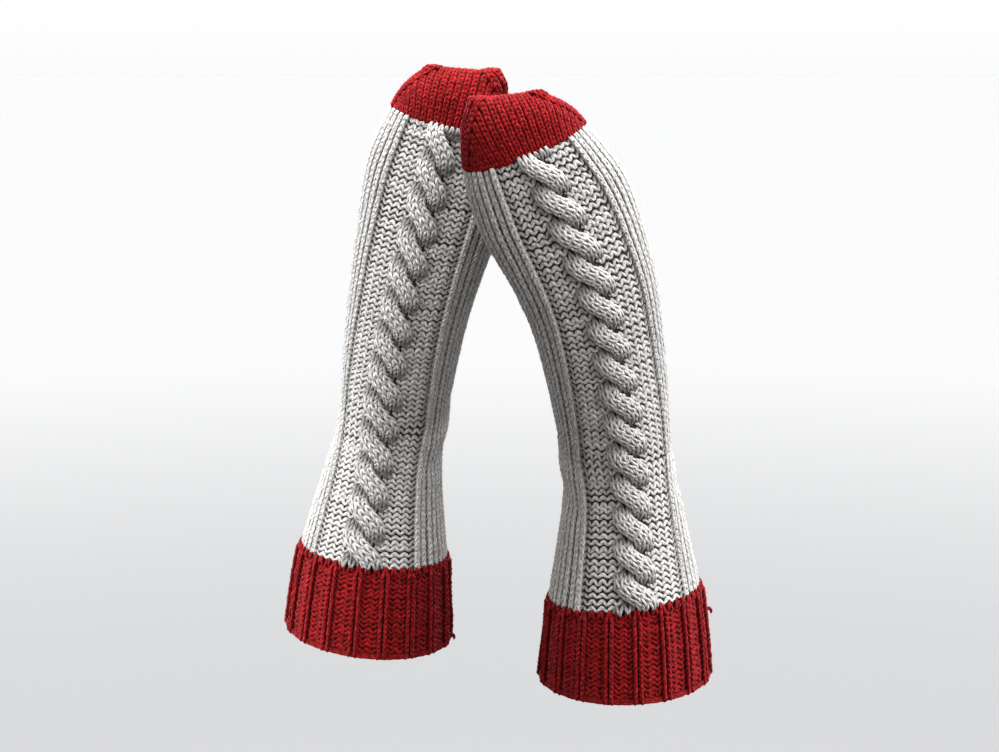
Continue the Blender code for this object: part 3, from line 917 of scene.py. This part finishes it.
def make_cuff(form, materials):
    """The ribbed cuff: cloth, one plain row, the rib and a chained edge."""
    top = ROW["leg_start"]
    knots = form.instep_knots(top, 0.0, CUFF_ROWS + 1)
    yarn = Yarn()
    pitch = 1.0 / RIBS
    knit_width = CUFF_KNIT_SHARE * pitch
    purl_width = 0.5 * (1.0 - CUFF_KNIT_SHARE) * pitch
    plain_lift = 0.5 * (RIB_HEIGHT + RIB_GROOVE) - KNIT_DEPTH
    purl_lift = RIB_GROOVE - RIB_PURL_SINK * YARN
    for rib in range(RIBS):
        middle = rib * pitch
        first = middle + 0.5 * knit_width
        for share, width in (
            (middle, knit_width),
            (first + 0.5 * purl_width, purl_width),
            (first + 1.5 * purl_width, purl_width),
        ):
            knit_column(yarn, form, share, width, knots[:2], plain_lift)
        rib_lift = RIB_HEIGHT - KNIT_DEPTH
        knit_column(yarn, form, middle, knit_width, knots[1:], rib_lift, CUFF_YARN, RIB_LEG)
        purl_columns(yarn, form, first, purl_width, 2, knots[1:], purl_lift, CUFF_YARN)
    chain_edge(yarn, form)
    yarn_end(yarn, form)
    shares = plain_shares(RIB_CLOTH_COLUMNS * RIBS) + 0.25 * pitch / RIB_CLOTH_COLUMNS
    t_rows = np.linspace(0.0, top, CUFF_CLOTH_ROWS)
    place = np.abs(wrapped(shares * RIBS))
    relief = np.where(place < RIB_CLOTH_HALF, RIB_HEIGHT, RIB_GROOVE)[None, :]
    # The cuff's cloth is a near-black red painted shade between the stitches
    cloth = cloth_object("cuff", form, t_rows, shares, relief, materials["red_shade_cloth"])
    return cloth, [yarn.make(form.side, "cuff", materials["red"])]


def chain_edge(yarn, form):
    """The bound-off edge: a chain of stitches lying along the opening."""
    leg_across, leg_down, leg_height, leg_thick = leg_columns(LEG)
    links = 3 * RIBS
    link = np.arange(links)[:, None]
    for hand in (-1.0, 1.0):
        place = (link + leg_down + wobble(links, CHAIN_UNEVEN["down"])) / links
        aside = hand * leg_across * CHAIN_WIDTH
        up = aside * CHAIN_SPREAD + CHAIN_RISE
        height = 0.5 * RIB_HEIGHT + YARN * (leg_height - CHAIN_SINK) - CHAIN_SLOPE * aside
        t = np.zeros_like(place)
        centres, out = form.place(t, place, height, up=up)
        tilted = unit(out - CHAIN_TILT * unit(form.read(form.up, t, place)))
        uneven = 1.0 + wobble(links, CHAIN_UNEVEN["thick"])
        yarn.add(centres, tilted, YARN * leg_thick * uneven)


def yarn_end(yarn, form):
    """The woven-in end of yarn that peeps out at the cuff, as a short bent stub."""
    row, share = YARN_ENDS[form.side]
    base, out = form.place(np.array([row]), np.array([share]), RIB_HEIGHT)
    steps = np.linspace(0.0, 1.0, len(YARN_END_THICK))[:, None]
    reach = out * np.sin(steps * YARN_END_BEND) * YARN_END_REACH
    drop = np.array([[0.0, 0.0, -1.0]]) * steps**2 * YARN_END_DROP
    centres = (base + reach + drop - out * YARN_END_SINK)[None]
    side = np.broadcast_to(np.array([0.0, -1.0, 0.0]), centres.shape)
    thick = YARN * np.array([YARN_END_THICK])
    yarn.add(centres, side, thick)
    yarn.add(centres, -side, thick)


def make_toe(form, materials):
    """The toe cap: cloth and wales that end along an edge wale at each side."""
    toe_end = ROW["toe_end"]
    toe_start = ROW["toe_start"]
    closing = np.linspace(toe_end + TOE_YARN_REACH, toe_end, TOE_CLOSING_ROWS + 1)
    knots = np.concatenate([closing[:-1], form.instep_knots(toe_end, toe_start, TOE_ROWS)])
    row = np.arange(len(knots)) - TOE_CLOSING_ROWS
    growth = (TOE_LAST_STITCHES - TOE_FIRST_STITCHES) / TOE_ROWS
    stitches = TOE_FIRST_STITCHES + growth * np.clip(row, 0, None)
    steps = np.clip((row + 1) // TOE_STEP_ROWS, 0, None)
    quarter = (TOE_FIRST_STITCHES + TOE_STEP_STITCHES * steps) / 4
    yarn = Yarn()

    def stitches_at(t):
        return np.interp(-t, -knots, stitches)

    def lay_wale(middle, part, rise):
        """Lays a wale along part of the rows. Its middle is a function of the stitches round."""
        knit_column(
            yarn, form, lambda t: middle(stitches_at(t)), lambda t: 1.0 / stitches_at(t),
            part, rise - KNIT_DEPTH, shape=TOE_LEG,
        )

    half_wales = TOE_LAST_STITCHES // 4
    for centre in (0.0, 0.5):
        for wale in range(-half_wales, half_wales):
            place = wale + 0.5
            rows_in = np.nonzero(quarter - TOE_BAND_STITCHES >= abs(place) + 0.5)[0]
            if len(rows_in) and rows_in[0] < len(knots) - 1:
                lay_wale(lambda count: centre + place / count, knots[rows_in[0]:], 0.0)
        for hand in (-1.0, 1.0):
            for inset, rise in ((0.5, TOE_EDGE_RISE), (1.5, TOE_BAND_RISE)):
                lay_wale(lambda count: centre + hand * (0.25 - inset / count), knots, rise)
    t_rows = np.linspace(toe_start, toe_end + TOE_CLOTH_REACH, TOE_CLOTH_ROWS)
    shares = plain_shares(TOE_CLOTH_COLUMNS)
    # The toe's cloth is a near-black red painted shade between the stitches
    cloth = cloth_object(
        "toe", form, t_rows, shares, 0.0, materials["red_shade_cloth"], closed_top=True
    )
    return cloth, [yarn.make(form.side, "toe", materials["red"])]


class Tree:
    """The nodes of a material or a world."""

    def __init__(self, owner):
        owner.use_nodes = True
        self.nodes = owner.node_tree.nodes
        self.links = owner.node_tree.links

    def feed(self, node, inputs):
        """Gives each input its plain value, or links it to the socket that it comes from."""
        for place, value in inputs.items():
            if isinstance(value, bpy.types.NodeSocket):
                self.links.new(value, node.inputs[place])
            else:
                node.inputs[place].default_value = value

    def add(self, kind, inputs=None, **settings):
        """A new node of a kind, with its settings and inputs."""
        node = self.nodes.new(f"ShaderNode{kind}")
        for name, value in settings.items():
            setattr(node, name, value)
        self.feed(node, inputs or {})
        return node

    def math(self, operation, *values):
        """The result of a math node on sockets or numbers."""
        return self.add("Math", dict(enumerate(values)), operation=operation).outputs[0]

    def mix(self, share, first, second):
        """Two colours mixed by a share of the second."""
        return self.add("Mix", {0: share, 6: first, 7: second}, data_type="RGBA").outputs[2]

    def ramp(self, share, stops):
        """The colour of a share between stops, each a place and a colour."""
        node = self.add("ValToRGB", {0: share})
        elements = node.color_ramp.elements
        for end in (0, -1):
            elements[end].position, elements[end].color = stops[end]
        for place, colour in stops[1:-1]:
            elements.new(place).color = colour
        return node.outputs["Color"]

    def fade(self, value, low, high, **settings):
        """The share of the way of a value from low to high."""
        inputs = {"Value": value, "From Min": low, "From Max": high}
        return self.add("MapRange", inputs, **settings).outputs["Result"]

    def bump(self, height, strength, distance):
        """The normal of a relief."""
        inputs = {"Height": height, "Strength": strength, "Distance": distance}
        return self.add("Bump", inputs).outputs["Normal"]


def times(colour, factor):
    """A colour made darker or lighter."""
    return tuple(factor * value for value in colour[:3]) + (1.0,)


def yarn_material(name, colours, sheen, sheen_tint, specular):
    """Plied wool: colour runs along each ply, and the plies' twist shows as relief.

    The sides of the yarn, deep between the stitches, are painted darker than its outer face as
    painted shade, and so is yarn marked deep, where it lies in the shade of what is next to it.
    """
    material = bpy.data.materials.new(name)
    tree = Tree(material)
    uv = tree.add("UVMap", uv_map="UVMap").outputs["UV"]
    parts = tree.add("SeparateXYZ", {0: uv}).outputs
    along = tree.math("MULTIPLY", parts["X"], 1.0 / PLY_LAY)
    turned = tree.math("ADD", parts["Y"], along)
    plies = tree.math("MULTIPLY", turned, float(PLIES))
    wave = tree.math("SINE", tree.math("MULTIPLY", plies, 2 * math.pi))
    flecks = tree.math("MULTIPLY", parts["X"], 1.0 / FLECK_LENGTH)
    vector = tree.add("CombineXYZ", {"X": flecks, "Y": plies}).outputs[0]
    noise = tree.add(
        "TexNoise", {"Vector": vector, "Scale": 1.0, "Detail": 3.0, "Roughness": 0.65}
    )
    lit = tree.ramp(noise.outputs["Fac"], tuple(zip(FLECK_STOPS, colours)))
    # Painted shade: the yarn's sides and the yarn marked deep get a darker copy of its darkest
    # fleck
    outward = tree.math("SINE", tree.math("MULTIPLY", parts["Y"], 2 * math.pi))
    open_share = tree.fade(outward, SHADED_BELOW, OPEN_ABOVE)
    deep = tree.add("Attribute", attribute_name="deep")
    clear = tree.math("SUBTRACT", 1.0, deep.outputs["Fac"])
    lit_share = tree.math("MULTIPLY", open_share, clear)
    fibres = tree.add("TexNoise", {"Vector": vector, "Scale": 6.0, "Detail": 2.0})
    fibre_height = tree.math("MULTIPLY", fibres.outputs["Fac"], 0.8)
    tree.feed(tree.nodes["Principled BSDF"], {
        "Base Color": tree.mix(lit_share, times(colours[0], SIDE_SHADE), lit),
        "Normal": tree.bump(tree.math("ADD", wave, fibre_height), 0.55, 0.25 * MM),
        "Roughness": 0.75,
        "Specular IOR Level": specular,
        "Sheen Weight": sheen,
        "Sheen Roughness": 0.3,
        "Sheen Tint": sheen_tint,
    })
    return material


def cloth_material(name, colour):
    """The cloth behind the yarn, with the waves of the inside's purl stitches. Its near-black
    colour is painted shade, flecked at random.
    """
    material = bpy.data.materials.new(name)
    tree = Tree(material)
    uv = tree.add("UVMap", uv_map="UVMap").outputs["UV"]
    inputs = {"Vector": uv, "Scale": 85.0, "Distortion": 1.5}
    wave = tree.add("TexWave", inputs, bands_direction="Y")
    noise = tree.add("TexNoise", {"Vector": uv, "Scale": 400.0})
    tree.feed(tree.nodes["Principled BSDF"], {
        "Base Color": tree.mix(noise.outputs["Fac"], colour, times(colour, 1.5)),
        "Normal": tree.bump(wave.outputs["Fac"], 0.6, 0.8 * MM),
        "Roughness": 0.95,
        "Specular IOR Level": 0.1,
    })
    return material


def make_floor():
    """A pale floor, very wide and far below the held-up socks, plain but for a painted shade
    that darkens it towards the middle, under them.
    """
    angles = np.linspace(0.0, 2 * math.pi, FLOOR_STEPS, endpoint=False)
    ring = np.stack([np.cos(angles), np.sin(angles)], axis=1) * FLOOR_RADIUS
    points = [(0.0, 0.0, FLOOR_LEVEL)] + [(x, y, FLOOR_LEVEL) for x, y in ring]
    faces = [(0, i + 1, (i + 1) % FLOOR_STEPS + 1) for i in range(FLOOR_STEPS)]
    mesh = bpy.data.meshes.new("floor")
    mesh.from_pydata(points, [], faces)
    floor = bpy.data.objects.new("floor", mesh)
    bpy.context.scene.collection.objects.link(floor)
    floor.visible_diffuse = False
    material = bpy.data.materials.new("floor_paint")
    tree = Tree(material)
    place = tree.add("TexCoord").outputs["Object"]
    distance = tree.add("VectorMath", {0: place}, operation="LENGTH").outputs["Value"]
    # Painted shade: darker near the middle, under the socks
    far = tree.fade(distance, *FLOOR_FADE, interpolation_type="SMOOTHSTEP")
    tree.feed(tree.nodes["Principled BSDF"], {
        "Base Color": tree.mix(far, FLOOR_NEAR_SHADE, FLOOR_FAR),
        "Roughness": 1.0,
        "Specular IOR Level": 0.0,
    })
    mesh.materials.append(material)


def make_sky():
    """The light of a pale room, from all around."""
    world = bpy.data.worlds.new("pale_room")
    bpy.context.scene.world = world
    tree = Tree(world)
    direction = tree.add("TexCoord").outputs["Generated"]
    parts = tree.add("SeparateXYZ", {0: direction}).outputs
    up = tree.math("MULTIPLY", tree.math("ADD", parts["Z"], 1.0), 0.5)
    tree.feed(tree.nodes["Background"], {"Color": tree.ramp(up, SKY_STOPS)})


def add_light(light, place, back):
    """Puts a light at a place, shining away from back."""
    lamp = bpy.data.objects.new(light.name, light)
    lamp.location = place
    lamp.rotation_euler = Vector(back).to_track_quat("Z", "Y").to_euler()
    lamp.visible_camera = False
    bpy.context.scene.collection.objects.link(lamp)
    return lamp


def make_lights():
    """The windows' suns, each on what it reaches, and the soft lamp overhead."""
    for name, toward, strength, spread, lit in SUNS:
        light = bpy.data.lights.new(name, "SUN")
        light.energy = strength
        light.angle = math.radians(spread)
        light.color = SUN_COLOUR
        reached = bpy.data.collections.new(name)
        for made in bpy.context.scene.collection.objects:
            if made.type == "MESH" and made.name.startswith(lit):
                reached.objects.link(made)
        add_light(light, toward, toward).light_linking.receiver_collection = reached
    light = bpy.data.lights.new("roof_lamp", "AREA")
    light.shape = "DISK"
    light.size = ROOF_LAMP_SIZE
    light.energy = ROOF_LAMP_POWER
    add_light(light, ROOF_LAMP_PLACE, np.subtract(ROOF_LAMP_PLACE, ROOF_LAMP_AIM))


def make_camera():
    """The camera, at the photo's angle."""
    camera_data = bpy.data.cameras.new("camera")
    camera_data.sensor_width = CAMERA_SENSOR
    camera_data.lens = CAMERA_LENS
    camera_data.clip_start = CAMERA_NEAR
    camera = bpy.data.objects.new("camera", camera_data)
    elevation = math.radians(CAMERA_ELEVATION)
    back = np.array([0.0, -math.cos(elevation), math.sin(elevation)])
    camera.location = np.array(CAMERA_TARGET) + back * CAMERA_DISTANCE
    camera.rotation_euler = (math.radians(90.0) - elevation, 0.0, 0.0)
    bpy.context.scene.collection.objects.link(camera)
    bpy.context.scene.camera = camera
    bpy.context.scene.view_settings.view_transform = "Standard"


def main():
    """Makes both socks and what stands around them."""
    materials = {
        "grey": yarn_material("grey_marl_wool", GREY_YARN, 0.25, WHITE, 0.2),
        "red": yarn_material("crimson_wool", RED_YARN, 0.5, RED_SHEEN, 0.1),
        # The cloths' colours are painted shade behind the yarn and on the inside
        "grey_shade_cloth": cloth_material("grey_wool_inside", GREY_CLOTH_SHADE),
        "grey_shade_gaps": cloth_material("grey_wool_gaps", GREY_GAP_SHADE),
        "red_shade_cloth": cloth_material("crimson_wool_inside", RED_CLOTH_SHADE),
    }
    for side in SOCKS:
        form = Form(side)
        for nodes, maker, slot, flat, area in (
            (("leg", "heel", "foot"), make_body, "grey_knit", BODY_CUT, None),
            (("cuff",), make_cuff, "red_knit", CUFF_CUT, None),
            (("toe",), make_toe, "red_knit", TOE_CUT, TOE_CUT_AREA),
        ):
            cloth, yarns = maker(form, materials)
            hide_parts(*[f"{side}_{node}" for node in nodes])
            for piece in [cloth] + yarns:
                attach(piece, "root")
    make_floor()
    make_sky()
    make_lights()
    make_camera()


main()
